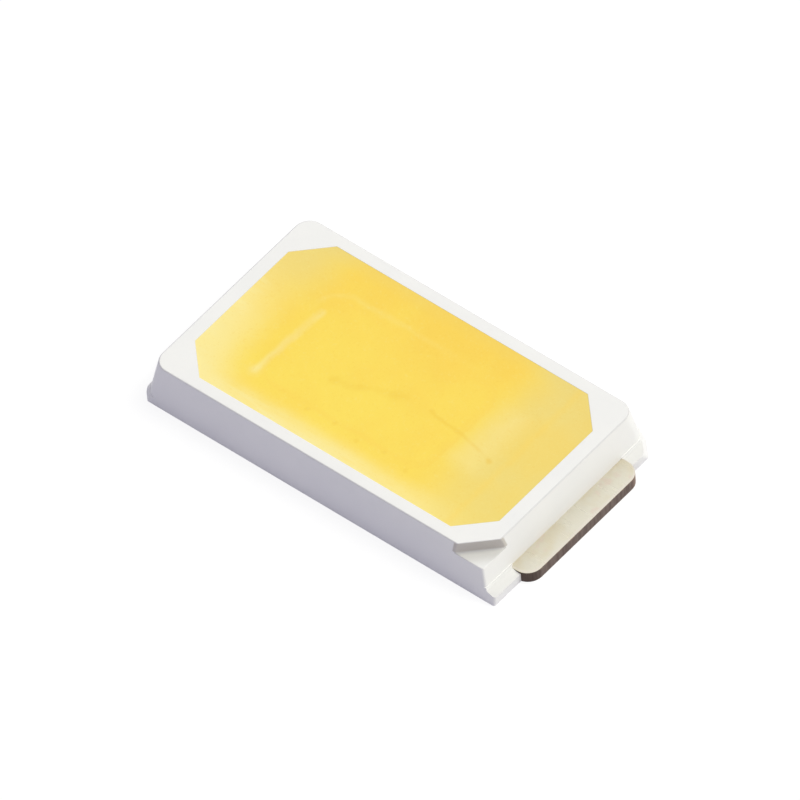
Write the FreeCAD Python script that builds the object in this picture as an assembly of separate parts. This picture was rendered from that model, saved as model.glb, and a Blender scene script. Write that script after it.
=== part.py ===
import FreeCAD, Part

import math
import os

# White surface-mount light-emitting diode package, in millimetres.
# A moulded white housing grips two flat leads and forms a reflector cup over them. Two chips in
# series stand on the long lead, joined by gold wires, under a fill of yellow phosphor silicone.
# +X runs along the package towards the short lead and the polarity corner, +Y across it, +Z up.
# The origin is the middle of the whole underside, where the solder pads lie in the plane z = 0.
# The sizes below are taken from the middle of the housing, which the last step then moves.

# Housing
body_h = 0.62             # underside to the top of the frame
top_len = 4.94            # top face along X
top_wid = 2.82            # top face along Y
draft_end = 0.125         # how far each end wall leans out on its way down
draft_side = 0.09         # how far each long wall leans out on its way down
corner_r = 0.20           # upright corners
mark_leg = 0.36           # polarity corner: cut along each edge of the top face
mark_depth = 0.16         # polarity corner: depth of the cut
mark_edge_r = 0.03        # upright edge left under the polarity corner

# Lips at the foot of each end wall, one each side of the lead
lip_reach = 0.105         # out from the foot of the end wall
lip_h = 0.127             # height of the outer face
lip_rise = 0.024          # slope from the outer face up to the wall
lip_flare = 0.05          # hollow curve from the lip into the wall
lip_grip = 0.025          # how far the lips reach in past the line of the lead's side
lip_skin = 0.018          # left of a lip where it is cut off round the wall's round corner
lip_cut_lean = 0.20       # how much deeper that cut is at the height of the top face
lip_corner_r = 0.15       # plan corners at the two ends of that cut
far_lip_reach = 0.03      # the lips at the -X end are smaller: out from the wall's foot,
far_lip_h = 0.05          # and the height of their outer face

# Reflector cup
rim_end = 0.185           # width of the top frame at the ends
rim_side = 0.16           # width of the top frame along the sides
mouth_chamfer = 0.40      # corner cut of the cup's mouth
slope_end = 0.56          # run of the end reflectors, mouth to foot
slope_side = 0.33         # run of the side reflectors, mouth to foot
foot_chamfer = 0.27       # corner cut at the foot of the reflectors
ledge_h = 0.05            # flat resin ledge above the leads
ledge_w = 0.09            # ledge between the reflector foot and the pool
pool_r = 0.25             # plan corners of the chip pool
window_len = 0.405        # bond window over the short lead, along X
window_wid = 0.90         # the same along Y
window_r = 0.12           # plan corners of the bond window
gate_r = 0.20             # moulding gate dimple in the underside
gate_depth = 0.03

# Lead frame
lead_t = 0.18             # sheet thickness
lead_wid = 2.04           # lead and tab along Y
tab_reach = 0.255         # short lead's tab beyond the foot of the end wall
tab_r = 0.20              # plan corners of that tab
far_reach = 0.125         # long lead's tab beyond the foot of the other end wall
far_tab_r = 0.12          # plan corners of that tab
tab_roll = 0.025          # rolled upper edge left by the cutting punch
lead_gap = 0.20           # resin bar between the two leads
bar_lap = 0.03            # how far the ledge laps each lead beside the bar
inner_r = 0.15            # plan corners of the inner lead ends
etch_h = 0.09             # height of the half-etched step under the lead edges
etch_side = 0.12          # step along the sides
etch_end = 0.18           # step at the inner end
etch_r = 0.12             # plan corners of the solder pad inside the step
etch_start = 0.12         # the step starts this far inside the foot of the end wall

# Chips
chip_len = 0.56
chip_wid = 0.30
chip_h = 0.13             # sapphire with the light-emitting layers
mesa_edge = 0.012         # bare sapphire strip round the raised layers
mesa_h = 0.008            # raised layers
mesa_relief = 0.014       # clear ring round the low contact
end_share = 0.28          # share of the pool's free length left beyond each chip
chip_skew = 0.28          # from chip to chip along Y
chip_shift = -0.06        # middle of the pair along Y
attach_t = 0.010          # glue line under each chip
attach_climb = 0.030      # how far the glue climbs the chip's sides
attach_spread = 0.045     # foot of the glue beyond the chip
attach_rim = 0.01         # the same at the top of the glue

# Contacts and wires
pad_r = 0.045             # round metal contact on a chip
pad_h = 0.006
pad_inset = 0.10          # contact centre from the chip's end
wire_d = 0.025            # gold wire
wire_sides = 12           # flats that stand for the wire's round
ball_r = 0.037            # ball bond at the start of each wire
ball_foot_r = 0.031
ball_h = 0.016
ball_belly = 0.0065       # height where the ball is widest
neck_h = 0.010            # cone from the ball up to the wire
bump_h = 0.014            # gold bump under a stitch that lands on a chip
loop_rise = 0.105         # top of the loop above the ball
loop_fall = 0.03          # the run over the top of the loop falls this much
loop_foot = 0.24          # from the last bend to the stitch, seen from above
loop_turn = 0.08          # least run over the top of a short loop
bend_r = 0.05             # bends of the wire
bend_share = 0.45         # the most of a straight run that one bend may use up
stitch_len = 0.090        # flattened end of the wire
stitch_wid = 0.066
stitch_t = 0.010
stitch_ahead = 0.015      # middle of the flattened end beyond the point where the wire lands

# Silicone fill
fill_gap = 0.004          # fill below the frame's top at the cup's corners
fill_dish = 0.014         # hollow at the middle of the fill

# Derived sizes
top_x = top_len / 2
top_y = top_wid / 2
base_x = top_x + draft_end
base_y = top_y + draft_side
lead_y = lead_wid / 2
lip_start = lead_y - lip_grip
mouth_x = top_x - rim_end
mouth_y = top_y - rim_side
foot_x = mouth_x - slope_end
foot_y = mouth_y - slope_side
ledge_z = lead_t + ledge_h
window_x1 = foot_x - ledge_w
window_x0 = window_x1 - window_len
gap_x = window_x0 - bar_lap - lead_gap / 2
pool_y = foot_y - ledge_w
pool_x0 = ledge_w - foot_x
pool_x1 = gap_x - lead_gap / 2 - bar_lap
end_room = (pool_x1 - pool_x0 - 2 * chip_len) * end_share
chip_z = lead_t + attach_t
mesa_z = chip_z + chip_h
chip_1_at = (pool_x0 + end_room + chip_len / 2, chip_shift - chip_skew / 2)
chip_2_at = (pool_x1 - end_room - chip_len / 2, chip_shift + chip_skew / 2)
contact_off = chip_len / 2 - pad_inset
bump_r = ball_foot_r + stitch_t
to_middle = (far_reach - tab_reach) / 2


def point(x, y, z=0.0):
    return FreeCAD.Vector(x, y, z)


def outline(corners, z):
    """Closed wire through corners (x, y, radius) given anticlockwise, at height z."""
    ends = []
    arcs = []
    count = len(corners)
    for i in range(count):
        x, y, r = corners[i]
        here = point(x, y, z)
        back = point(*corners[i - 1][:2], z) - here
        ahead = point(*corners[(i + 1) % count][:2], z) - here
        back.normalize()
        ahead.normalize()
        if r <= 0:
            ends.append((here, here))
            arcs.append(None)
            continue
        half = back.getAngle(ahead) / 2
        run = r / math.tan(half)
        towards = back + ahead
        towards.normalize()
        middle = here + towards * (r / math.sin(half) - r)
        first = here + back * run
        last = here + ahead * run
        ends.append((first, last))
        arcs.append(Part.Arc(first, middle, last).toShape())
    edges = []
    for i in range(count):
        if arcs[i]:
            edges.append(arcs[i])
        start = ends[i][1]
        stop = ends[(i + 1) % count][0]
        if start.distanceToPoint(stop) > 1e-6:
            edges.append(Part.LineSegment(start, stop).toShape())
    return Part.Wire(edges)


def prism(corners, z0, z1):
    """Upright solid on a plan outline."""
    return Part.Face(outline(corners, z0)).extrude(point(0, 0, z1 - z0))


def taper(low, high, z0, z1):
    """Solid whose straight walls lean from one plan outline to another."""
    return Part.makeLoft([outline(low, z0), outline(high, z1)], True, True)


def rectangle(x0, x1, y0, y1, radii):
    """Corners of a rectangle, with radii for the lower left, lower right, upper right, upper left."""
    return [(x0, y0, radii[0]), (x1, y0, radii[1]), (x1, y1, radii[2]), (x0, y1, radii[3])]


def octagon(x, y, c):
    """Corners of a rectangle with its four corners cut off at 45 degrees."""
    return [
        (x - c, -y, 0), (x, c - y, 0), (x, y - c, 0), (x - c, y, 0),
        (c - x, y, 0), (-x, y - c, 0), (-x, c - y, 0), (c - x, -y, 0),
    ]


def joined(shapes):
    """One shape from several that touch or overlap."""
    whole = shapes[0]
    if len(shapes) > 1:
        whole = whole.fuse(shapes[1:])
    return whole.removeSplitter()


def wall_x(z):
    """Where the end wall stands at height z."""
    return base_x - draft_end * z / body_h


# Leads

def tab(inner, reach, radius):
    """Outer end of a lead, with the upper edge rolled over by the cutting punch."""
    plate = prism(rectangle(inner, base_x + reach, -lead_y, lead_y, (0, radius, radius, 0)), 0, lead_t)
    rolled = []
    for edge in plate.Edges:
        box = edge.BoundBox
        if box.ZMin > lead_t - 1e-6 and box.XMax > inner + 1e-6:
            rolled.append(edge)
    return plate.makeFillet(tab_roll, rolled)


def lead(inner, reach, radius):
    """Flat lead with its tab towards +X and half-etched edges that the resin grips."""
    step_x = base_x - etch_start
    pad_y = lead_y - etch_side
    sheet = prism(rectangle(inner, step_x, -lead_y, lead_y, (inner_r, 0, 0, inner_r)), etch_h, lead_t)
    pad = prism(rectangle(inner + etch_end, step_x, -pad_y, pad_y, (etch_r, 0, 0, etch_r)), 0, etch_h)
    return joined([tab(step_x, reach, radius), sheet, pad])


def cathode_lead():
    """Short lead under the polarity corner's end."""
    return lead(gap_x + lead_gap / 2, tab_reach, tab_r)


def anode_lead():
    """Long lead, which carries both chips and takes their heat to its pad."""
    half_turn = lead(lead_gap / 2 - gap_x, far_reach, far_tab_r)
    half_turn.rotate(point(0, 0), point(0, 0, 1), 180)
    return half_turn


# Housing

def shell():
    """Outer block of the housing, with its draft and its three round corners."""
    base = rectangle(-base_x, base_x, -base_y, base_y, (corner_r, mark_edge_r, corner_r, corner_r))
    top = rectangle(-top_x, top_x, -top_y, top_y, (corner_r, mark_edge_r, corner_r, corner_r))
    return taper(base, top, 0, body_h)


def lip_profile(inside, reach, height):
    """Upright section of a lip from a line inside the wall out to its face, with the flare."""
    face_x = base_x + reach
    slope_z = height + lip_rise
    flare_z = slope_z + lip_flare
    bend = point(wall_x(slope_z) + lip_flare, 0, flare_z)
    part_way = lip_flare * math.sqrt(0.5)
    root = point(wall_x(flare_z), 0, flare_z)
    heel = point(bend.x, 0, slope_z)
    edges = [
        Part.LineSegment(point(inside, 0, 0), point(face_x, 0, 0)).toShape(),
        Part.LineSegment(point(face_x, 0, 0), point(face_x, 0, height)).toShape(),
        Part.LineSegment(point(face_x, 0, height), heel).toShape(),
        Part.Arc(heel, bend - point(part_way, 0, part_way), root).toShape(),
        Part.LineSegment(root, point(inside, 0, flare_z)).toShape(),
        Part.LineSegment(point(inside, 0, flare_z), point(inside, 0, 0)).toShape(),
    ]
    return Part.Face(Part.Wire(edges))


def lip_run(inside, reach, height, stop_y):
    """Straight run of a lip at the +X end, from beside the lead towards +Y."""
    run = lip_profile(inside, reach, height).extrude(point(0, stop_y - lip_start, 0))
    run.translate(point(0, lip_start, 0))
    return run


def cut_corner(face_x, side_y, leg):
    """Plan outline of a quarter of the package, with its outer corner cut off at 45 degrees."""
    return [
        (0, 0, 0), (face_x, 0, 0), (face_x, side_y - leg, lip_corner_r),
        (face_x - leg, side_y, lip_corner_r), (0, side_y, 0),
    ]


def rounded_lip(reach, height):
    """Lip at the +X end on the +Y side of the lead, cut off close outside the round corner."""
    turn_x = base_x - corner_r
    turn_y = base_y - corner_r
    bend = lip_profile(turn_x, reach, height)
    bend.translate(point(0, turn_y, 0))
    bend = bend.revolve(point(turn_x, turn_y), point(0, 0, 1), 90)
    bar = joined([lip_run(turn_x, reach, height, turn_y), bend])
    leg = reach + (2 - math.sqrt(2)) * corner_r - math.sqrt(2) * lip_skin
    low = cut_corner(base_x + reach, base_y, leg)
    high = cut_corner(base_x + reach, top_y, leg + lip_cut_lean)
    return bar.common(taper(low, high, 0, body_h))


def square_lip():
    """Lip at the sharp corner of the package, cut back to the line of the long wall."""
    bar = lip_run(base_x - draft_end - lip_flare, lip_reach, lip_h, base_y)
    low = rectangle(0, base_x + lip_reach, 0, base_y, (0, 0, mark_edge_r, 0))
    high = rectangle(0, base_x + lip_reach, 0, top_y, (0, 0, mark_edge_r, 0))
    return bar.common(taper(low, high, 0, body_h))


def lips():
    """The four lips: one cut off and one square at the +X end, two small ones at the -X end."""
    near = rounded_lip(lip_reach, lip_h)
    square = square_lip().mirror(point(0, 0), point(0, 1, 0))
    far = rounded_lip(far_lip_reach, far_lip_h).mirror(point(0, 0), point(1, 0, 0))
    return [near, square, far, far.mirror(point(0, 0), point(0, 1, 0))]


def polarity_cut():
    """Corner wedge that marks the cathode end."""
    past = mark_leg
    wedge = [
        (top_x - mark_leg - past, -top_y - past, 0),
        (top_x + past, -top_y - past, 0),
        (top_x + past, mark_leg + past - top_y, 0),
    ]
    return prism(wedge, body_h - mark_depth, body_h + past)


def cup():
    """Reflector cup: sloped octagon, chip pool and bond window, down to the leads."""
    foot = octagon(foot_x, foot_y, foot_chamfer)
    mouth = octagon(mouth_x, mouth_y, mouth_chamfer)
    slopes = taper(foot, mouth, ledge_z, body_h)
    pool = prism(rectangle(pool_x0, pool_x1, -pool_y, pool_y, (pool_r,) * 4), lead_t, ledge_z)
    half = window_wid / 2
    window = prism(rectangle(window_x0, window_x1, -half, half, (window_r,) * 4), lead_t, ledge_z)
    return joined([slopes, pool, window])


def housing(leads):
    """Moulded body, open at the cup, closed round the leads."""
    block = joined([shell()] + lips())
    gate = Part.makeCylinder(gate_r, gate_depth, point(gap_x, 0, 0))
    block = block.cut(polarity_cut()).cut(cup()).cut(gate)
    for piece in leads:
        block = block.cut(piece)
    return block.removeSplitter()


# Chips

def chip(at):
    """Sapphire die with its raised layers, cut back round the low contact at its +X end."""
    x, y = at
    half_l = chip_len / 2
    half_w = chip_wid / 2
    die_h = chip_h - mesa_h
    die = Part.makeBox(chip_len, chip_wid, die_h, point(x - half_l, y - half_w, chip_z))
    inner_l = chip_len - 2 * mesa_edge
    inner_w = chip_wid - 2 * mesa_edge
    corner = point(x - inner_l / 2, y - inner_w / 2, chip_z + die_h)
    mesa = Part.makeBox(inner_l, inner_w, mesa_h, corner)
    relief = Part.makeCylinder(pad_r + mesa_relief, mesa_h, point(x + contact_off, y, chip_z + die_h))
    return joined([die, mesa.cut(relief)])


def attach(at):
    """Glue under a chip, with a bead that climbs the chip's sides."""
    x, y = at
    half_l = chip_len / 2
    half_w = chip_wid / 2
    out = attach_spread
    low = rectangle(x - half_l - out, x + half_l + out, y - half_w - out, y + half_w + out, (out,) * 4)
    rim = attach_rim
    high = rectangle(x - half_l - rim, x + half_l + rim, y - half_w - rim, y + half_w + rim, (rim,) * 4)
    bead = taper(low, high, lead_t, chip_z + attach_climb)
    die = Part.makeBox(chip_len, chip_wid, chip_h, point(x - half_l, y - half_w, chip_z))
    return bead.cut(die)


def contact_point(at, end):
    """Centre of the contact at one end of a chip, on the surface that it lies on."""
    z = mesa_z if end < 0 else mesa_z - mesa_h
    return point(at[0] + end * contact_off, at[1], z)


def contact(at, end):
    """Round metal contact, raised on the mesa at the -X end or low beside it at the +X end."""
    return Part.makeCylinder(pad_r, pad_h, contact_point(at, end))


# Wires

def ring(middle, across, up, half_across, half_up):
    """Closed many-sided outline round a point, given its two half-widths and their directions."""
    corners = []
    for i in range(wire_sides + 1):
        turn = 2 * math.pi * (i % wire_sides + 0.5) / wire_sides
        step = across * (half_across * math.cos(turn))
        corners.append(middle + step + up * (half_up * math.sin(turn)))
    return Part.makePolygon(corners)


def strand(points, across):
    """Wire through points in one upright plane: straight runs joined by tangent bends."""
    r = wire_d / 2
    pieces = []
    start = points[0]
    for before, here, after in zip(points, points[1:], points[2:]):
        back = before - here
        ahead = after - here
        room = bend_share * min(back.Length, ahead.Length)
        back.normalize()
        ahead.normalize()
        half = back.getAngle(ahead) / 2
        run = min(bend_r / math.tan(half), room)
        first = here + back * run
        towards = back + ahead
        towards.normalize()
        hub = here + towards * (run / math.cos(half))
        section = Part.Face(ring(start, across, across.cross(back), r, r))
        pieces.append(section.extrude(first - start))
        section = Part.Face(ring(first, across, across.cross(back), r, r))
        pieces.append(section.revolve(hub, ahead.cross(back), 180 - math.degrees(2 * half)))
        start = here + ahead * run
    section = Part.Face(ring(start, across, across.cross(ahead), r, r))
    pieces.append(section.extrude(points[-1] - start))
    return joined(pieces)


def ball(at, flat, across):
    """Ball bond with the neck that runs up into the wire."""
    steps = [
        (0, ball_foot_r),
        (ball_belly, ball_r),
        (ball_h, ball_foot_r),
        (ball_h + neck_h, wire_d / 2),
    ]
    rings = [ring(at + point(0, 0, z), across, flat, r, r) for z, r in steps]
    return Part.makeLoft(rings, True, True)


def bond_wire(start, end):
    """Wire from a ball bond on one surface point to a flattened stitch on another."""
    flat = point(end.x - start.x, end.y - start.y, 0)
    reach = flat.Length
    flat.normalize()
    across = point(-flat.y, flat.x, 0)
    low = start + point(0, 0, ball_h)
    rise = start + point(0, 0, ball_h + loop_rise)
    turn = rise + flat * max(loop_turn, reach - loop_foot) - point(0, 0, loop_fall)
    touch = end + point(0, 0, stitch_t / 2)
    loop = strand([low, rise, turn, touch], across)
    below = Part.makeBox(stitch_len, stitch_len, stitch_len)
    below.translate(end - point(stitch_len / 2, stitch_len / 2, stitch_len))
    stitch = ring(end + flat * stitch_ahead, across, flat, stitch_wid / 2, stitch_len / 2)
    flake = Part.Face(stitch).extrude(point(0, 0, stitch_t))
    return joined([ball(start, flat, across), loop.cut(below), flake])


def top_of(at, end):
    """Upper face of a contact."""
    return contact_point(at, end) + point(0, 0, pad_h)


def wire_to_chip(contact_at, target):
    """Wire from one chip to the other, stitched onto a gold bump on the far contact."""
    bump = Part.makeCylinder(bump_r, bump_h, target)
    return joined([bump, bond_wire(contact_at, target + point(0, 0, bump_h))])


# Silicone fill

def fill(inner):
    """Phosphor silicone that fills the cup round everything in it, slightly dished on top."""
    body = cup()
    reach = math.hypot(mouth_x - mouth_chamfer, mouth_y)
    big_r = reach ** 2 / (2 * fill_dish)
    middle = point(0, 0, body_h - fill_gap - fill_dish + big_r)
    body = body.cut(Part.makeSphere(big_r, middle, point(1, 0, 0)))
    for piece in inner:
        body = body.cut(piece)
    return body


def build():
    parts = {"anode_lead": anode_lead(), "cathode_lead": cathode_lead()}
    parts["housing"] = housing([parts["anode_lead"], parts["cathode_lead"]])
    chips = {"1": chip_1_at, "2": chip_2_at}
    for name, at in chips.items():
        parts["chip_" + name] = chip(at)
        parts["die_attach_" + name] = attach(at)
        parts["p_contact_" + name] = contact(at, -1)
        parts["n_contact_" + name] = contact(at, 1)
    on_long = point(pool_x0 + end_room / 2, chip_1_at[1], lead_t)
    on_short = point((window_x0 + window_x1) / 2, 0, lead_t)
    parts["wire_anode"] = bond_wire(top_of(chip_1_at, -1), on_long)
    parts["wire_series"] = wire_to_chip(top_of(chip_1_at, 1), top_of(chip_2_at, -1))
    parts["wire_cathode"] = bond_wire(top_of(chip_2_at, 1), on_short)
    sealed = [s for n, s in parts.items() if n not in ("housing", "anode_lead", "cathode_lead")]
    parts["phosphor_fill"] = fill(sealed)
    for shape in parts.values():
        shape.translate(point(to_middle, 0))
    return parts


os.makedirs("parts", exist_ok=True)
for node, shape in build().items():
    shape.exportStep("parts/" + node + ".step")
    print(node, "solids", len(shape.Solids), "valid", shape.isValid(), "volume", round(shape.Volume, 6))
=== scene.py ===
# %% [markdown]
# # A white surface-mount LED, finished by hand
#
# The part is a flat white resin package, 5.57 mm long over its tabs. Two silver-plated copper
# leads run through its floor, and a cup moulded over them holds two blue chips under yellow
# phosphor silicone.
# The measured solids are loaded first. They hold the sizes, so every new piece is modelled to
# them, and nothing here moves or resizes them.

import math

import bmesh
import bpy
from mathutils import Matrix, Vector


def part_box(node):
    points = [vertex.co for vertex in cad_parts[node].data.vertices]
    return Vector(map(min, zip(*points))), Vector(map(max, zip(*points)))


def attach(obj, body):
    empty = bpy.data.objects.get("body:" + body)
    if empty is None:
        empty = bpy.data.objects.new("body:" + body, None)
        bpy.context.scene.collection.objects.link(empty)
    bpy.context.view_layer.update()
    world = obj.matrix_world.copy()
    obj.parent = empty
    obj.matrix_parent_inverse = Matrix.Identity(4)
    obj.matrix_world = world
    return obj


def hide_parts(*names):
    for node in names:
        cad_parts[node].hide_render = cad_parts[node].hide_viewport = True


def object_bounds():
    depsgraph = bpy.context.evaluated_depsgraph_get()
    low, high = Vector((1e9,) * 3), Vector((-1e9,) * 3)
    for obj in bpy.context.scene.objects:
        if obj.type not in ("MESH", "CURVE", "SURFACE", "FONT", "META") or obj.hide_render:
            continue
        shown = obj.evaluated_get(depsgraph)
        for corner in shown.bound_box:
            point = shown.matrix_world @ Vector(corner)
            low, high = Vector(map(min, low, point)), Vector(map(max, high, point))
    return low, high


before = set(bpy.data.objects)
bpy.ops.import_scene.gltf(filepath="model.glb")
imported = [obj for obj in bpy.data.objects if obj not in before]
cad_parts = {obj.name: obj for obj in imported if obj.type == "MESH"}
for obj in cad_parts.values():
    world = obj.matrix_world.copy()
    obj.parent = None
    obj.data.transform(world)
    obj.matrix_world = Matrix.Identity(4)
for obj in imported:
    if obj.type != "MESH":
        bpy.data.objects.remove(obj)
cad_low, cad_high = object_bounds()
MM = 1000.0


def box_mm(node):
    low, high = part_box(node)
    return low * MM, high * MM


fill_low, fill_high = box_mm("phosphor_fill")
MIDDLE_X = (fill_low.x + fill_high.x) / 2
print("measured box in mm:", [round(v * MM, 3) for v in (*cad_low, *cad_high)])
print("middle of the housing at x =", round(MIDDLE_X, 4), "mm")

# %% [markdown]
# ## Camera
# The photograph was taken from far away with a long lens, because opposite edges of the package
# stay almost parallel. It could be matched by turning an orthographic camera, but a real lens
# keeps the slight narrowing towards the back, so a very long lens is used. Its three angles put
# the long axis, the short axis and the upright edges at the slopes that the photograph shows.

# %% The photograph's camera
TURN = math.radians(43.29)
ABOVE = math.radians(49.30)
ROLL = math.radians(4.97)
LENS = 1500.0
SENSOR = 36.0
VIEW_WIDTH = 9.238 / MM
AIM_RIGHT = 0.0753 / MM
AIM_UP = -0.1652 / MM


def photo_camera():
    """Camera far along the viewing direction, rolled a little, aimed near the middle of the top."""
    level = Vector((math.cos(TURN), math.sin(TURN), 0))
    back = Vector((
        math.sin(TURN) * math.cos(ABOVE),
        -math.cos(TURN) * math.cos(ABOVE),
        math.sin(ABOVE),
    ))
    upward = back.cross(level)
    right = math.cos(ROLL) * level - math.sin(ROLL) * upward
    up = math.sin(ROLL) * level + math.cos(ROLL) * upward
    aim = Vector((MIDDLE_X / MM, 0, cad_high.z)) + AIM_RIGHT * right + AIM_UP * up
    away = VIEW_WIDTH * LENS / SENSOR
    data = bpy.data.cameras.new("photo_camera")
    data.lens = LENS
    data.sensor_width = SENSOR
    data.clip_start = away * 0.5
    data.clip_end = away * 3
    camera = bpy.data.objects.new("photo_camera", data)
    bpy.context.scene.collection.objects.link(camera)
    turned = Matrix((right, up, back)).transposed().to_4x4()
    camera.matrix_world = Matrix.Translation(aim + back * away) @ turned
    bpy.context.scene.camera = camera
    print("camera stands", round(away * MM), "mm away")


photo_camera()
bpy.context.scene.view_settings.view_transform = "Standard"

# %% [markdown]
# ## How the finishes are mixed
# The real finishes are resin, powder, silver and copper, each with a grain and a few marks of its
# own. They could be painted on images, but here every finish, the studio's too, is mixed from an
# object's own coordinates, turned into millimetres from the housing's middle, so a mark can be
# written down where it was measured. Short helpers stand for the nodes that all recipes share.

# %% Nodes and sums
def is_link(value):
    return isinstance(value, bpy.types.NodeSocket)


def feed(tree, socket, value):
    """Links an input to another node's output or gives it a constant."""
    if is_link(value):
        tree.links.new(value, socket)
    else:
        socket.default_value = value


def node(tree, kind, inputs, **settings):
    """Adds a node, sets it and feeds its inputs."""
    made = tree.nodes.new(kind)
    for key, value in settings.items():
        setattr(made, key, value)
    for key, value in inputs.items():
        feed(tree, made.inputs[key], value)
    return made


def maths(tree, how, *values):
    return node(tree, "ShaderNodeMath", dict(enumerate(values)), operation=how).outputs[0]


def product(tree, first, *others):
    """Multiplies two or more shares."""
    for other in others:
        first = maths(tree, "MULTIPLY", first, other)
    return first


def vectors(tree, how, *values):
    made = node(tree, "ShaderNodeVectorMath", dict(enumerate(values)), operation=how)
    return made.outputs["Value"] if how in ("LENGTH", "DOT_PRODUCT") else made.outputs["Vector"]


# %% Places, soft steps and mixes
def place_mm(tree):
    """Object coordinates in millimetres from the middle of the housing."""
    own = tree.nodes.new("ShaderNodeTexCoord").outputs["Object"]
    found = node(tree, "ShaderNodeMapping", {
        "Vector": own, "Scale": (MM, MM, MM), "Location": (-MIDDLE_X, 0, 0)})
    return found.outputs["Vector"]


def split(tree, at):
    return node(tree, "ShaderNodeSeparateXYZ", {0: at}).outputs


def fade(tree, value, start, end, low=0.0, high=1.0):
    """Soft step from low to high while the value goes from start to end."""
    limits = {"Value": value, "From Min": start, "From Max": end, "To Min": low, "To Max": high}
    made = node(tree, "ShaderNodeMapRange", limits, interpolation_type="SMOOTHSTEP")
    return made.outputs["Result"]


def tint(tree, share, first, second):
    """Mixes two colours. Each is a colour or another mix."""
    first, second = (tone if is_link(tone) else (*tone, 1) for tone in (first, second))
    return node(tree, "ShaderNodeMix", {0: share, 6: first, 7: second}, data_type="RGBA").outputs[2]


def either_shader(tree, share, first, second):
    ends = {0: share, 1: first.outputs[0], 2: second.outputs[0]}
    return node(tree, "ShaderNodeMixShader", ends)


# %% [markdown]
# ## Studio
# The photograph is a cut-out on white, lit from above and from the tab's side, with the front
# long wall in cool shade. One large soft lamp does the first, and a dim bluish sky with light
# thrown back by the floor does the second. The white background is only what the camera and
# shiny surfaces see. It could come from more light, but it comes from the ray type, so the white
# resin keeps its tone. A white card beside the tab end lightens that end from below. The floor is
# open right under the part and from behind, so that the underside can be looked at as well.

# %% Values of the studio
SKY_COLOUR = (0.36, 0.35, 0.42, 1)
FLOOR_COLOUR = (0.70, 0.69, 0.80)
CARD_COLOUR = (0.98, 0.97, 0.92)
CARD_FROM = 2.5
CARD_FULL = 3.4
FLOOR_GLOW = 0.84
FLOOR_SHADE = 0.20
KEY_COLOUR = (1.0, 1.0, 0.88)
KEY_SHARE = 0.81
KEY_FROM = Vector((0.34, 0.38, 0.85))
LAMP_AWAY = 0.40
LAMP_SIZE = 0.26
FLOOR_SIZE = 0.8
FLOOR_DROP = 0.001 / MM
# The opening in the floor, in millimetres from the middle of the housing.
HOLE_SHIFT = 0.035
HOLE_X = 2.64
HOLE_Y = 1.492
HOLE_CORNER = 3.945


# %% World
def seen_directly(tree):
    """1 for camera, glossy and transmission rays and 0 for the light itself."""
    path = tree.nodes.new("ShaderNodeLightPath").outputs
    first = maths(tree, "MAXIMUM", path["Is Camera Ray"], path["Is Glossy Ray"])
    return maths(tree, "MAXIMUM", first, path["Is Transmission Ray"])


def studio_world():
    world = bpy.data.worlds.new("studio")
    world.use_nodes = True
    tree = world.node_tree
    tree.nodes.clear()
    sky = node(tree, "ShaderNodeBackground", {"Color": SKY_COLOUR})
    white = node(tree, "ShaderNodeBackground", {"Color": (1, 1, 1, 1)})
    mix = either_shader(tree, seen_directly(tree), sky, white)
    node(tree, "ShaderNodeOutputWorld", {"Surface": mix.outputs[0]})
    bpy.context.scene.world = world


# %% Floor
def under_part(tree, at):
    """1 right under the part, within its outline with three cut corners, and 0 elsewhere."""
    moved = vectors(tree, "SUBTRACT", at, (HOLE_SHIFT, 0, 0))
    x, y = split(tree, moved)[:2]
    wide, deep = split(tree, vectors(tree, "ABSOLUTE", moved))[:2]
    back_corners = maths(tree, "ADD", wide, y)
    front_corner = product(tree, maths(tree, "ADD", x, y), -1.0)
    corner = maths(tree, "MAXIMUM", back_corners, front_corner)
    limits = ((wide, HOLE_X), (deep, HOLE_Y), (corner, HOLE_CORNER))
    return product(tree, *(maths(tree, "LESS_THAN", value, limit) for value, limit in limits))


def floor_material():
    material = bpy.data.materials.new("studio_floor")
    material.use_nodes = True
    tree = material.node_tree
    tree.nodes.clear()
    at = place_mm(tree)
    card = fade(tree, split(tree, at)[0], CARD_FROM, CARD_FULL)
    bounce = node(tree, "ShaderNodeBsdfDiffuse", {"Color": tint(tree, card, FLOOR_COLOUR, CARD_COLOUR)})
    shade = node(tree, "ShaderNodeBsdfDiffuse", {"Color": (FLOOR_SHADE, FLOOR_SHADE, FLOOR_SHADE, 1)})
    glow = node(tree, "ShaderNodeEmission", {"Strength": FLOOR_GLOW})
    shown = node(tree, "ShaderNodeAddShader", {0: shade.outputs[0], 1: glow.outputs[0]})
    solid = either_shader(tree, seen_directly(tree), bounce, shown)
    clear = tree.nodes.new("ShaderNodeBsdfTransparent")
    behind = tree.nodes.new("ShaderNodeNewGeometry").outputs["Backfacing"]
    open_share = maths(tree, "MAXIMUM", behind, under_part(tree, at))
    whole = either_shader(tree, open_share, solid, clear)
    node(tree, "ShaderNodeOutputMaterial", {"Surface": whole.outputs[0]})
    return material


# %% Lamp and stage
def lamp(name, direction, share, colour, away, size):
    """Square lamp that lights a facing white surface to the given share of full white."""
    data = bpy.data.lights.new(name, "AREA")
    data.shape = "SQUARE"
    data.size = size
    data.color = colour
    data.energy = share * math.pi ** 2 * away ** 2
    thing = bpy.data.objects.new(name, data)
    bpy.context.scene.collection.objects.link(thing)
    towards = direction.normalized()
    thing.location = towards * away
    thing.rotation_mode = "QUATERNION"
    thing.rotation_quaternion = towards.to_track_quat("Z", "Y")
    thing.visible_camera = False
    thing.visible_glossy = False
    print(name, "gives", round(data.energy, 3), "W from", away, "m away")


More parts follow.
